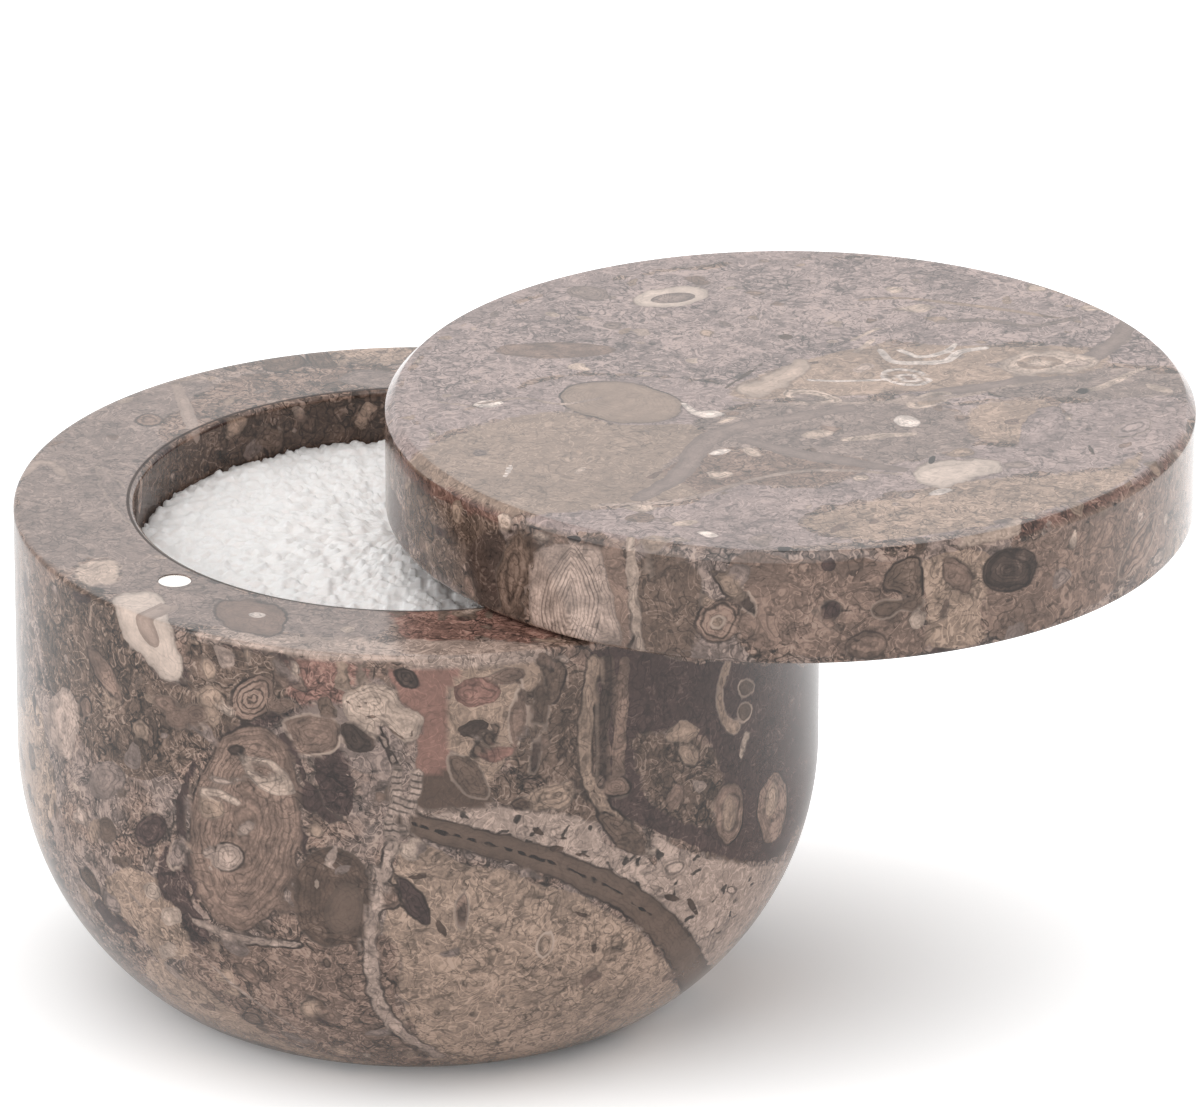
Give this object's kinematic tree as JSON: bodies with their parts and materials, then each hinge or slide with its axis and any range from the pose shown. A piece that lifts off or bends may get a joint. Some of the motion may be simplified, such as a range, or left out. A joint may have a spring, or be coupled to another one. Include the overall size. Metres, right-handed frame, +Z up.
{
  "type": "salt cellar",
  "caption": "Round stone salt cellar with a flat-based bowl and a thick stone lid that swivels sideways on a pin and is held closed by magnets.",
  "frame": {"origin": "middle of the flat base of the bowl", "axes": "+Z up along the axis of the bowl; the lid is swung out towards +X; the front with the rim magnet faces -Y"},
  "size_m": [0.1462, 0.1033, 0.0781],
  "materials": {
    "bowl_stone": "polished",
    "lid_stone": "polished",
    "pin_steel": "satin",
    "magnet_nickel": "gloss",
    "bush_nylon": "satin"
  },
  "bodies": {
    "bowl": {"bowl": "bowl_stone", "pivot_pin": "pin_steel", "bowl_magnet": "magnet_nickel"},
    "lid": {"lid": "lid_stone", "pivot_bush": "bush_nylon", "lid_magnet": "magnet_nickel"}
  },
  "joints": [
    {"name": "lid_swivel", "type": "hinge", "parent": "bowl", "child": "lid", "pos_m": [0.02564, 0.0339, 0.0637], "axis": [0, 0, 1], "range_deg": [-66, 114]}
  ]
}
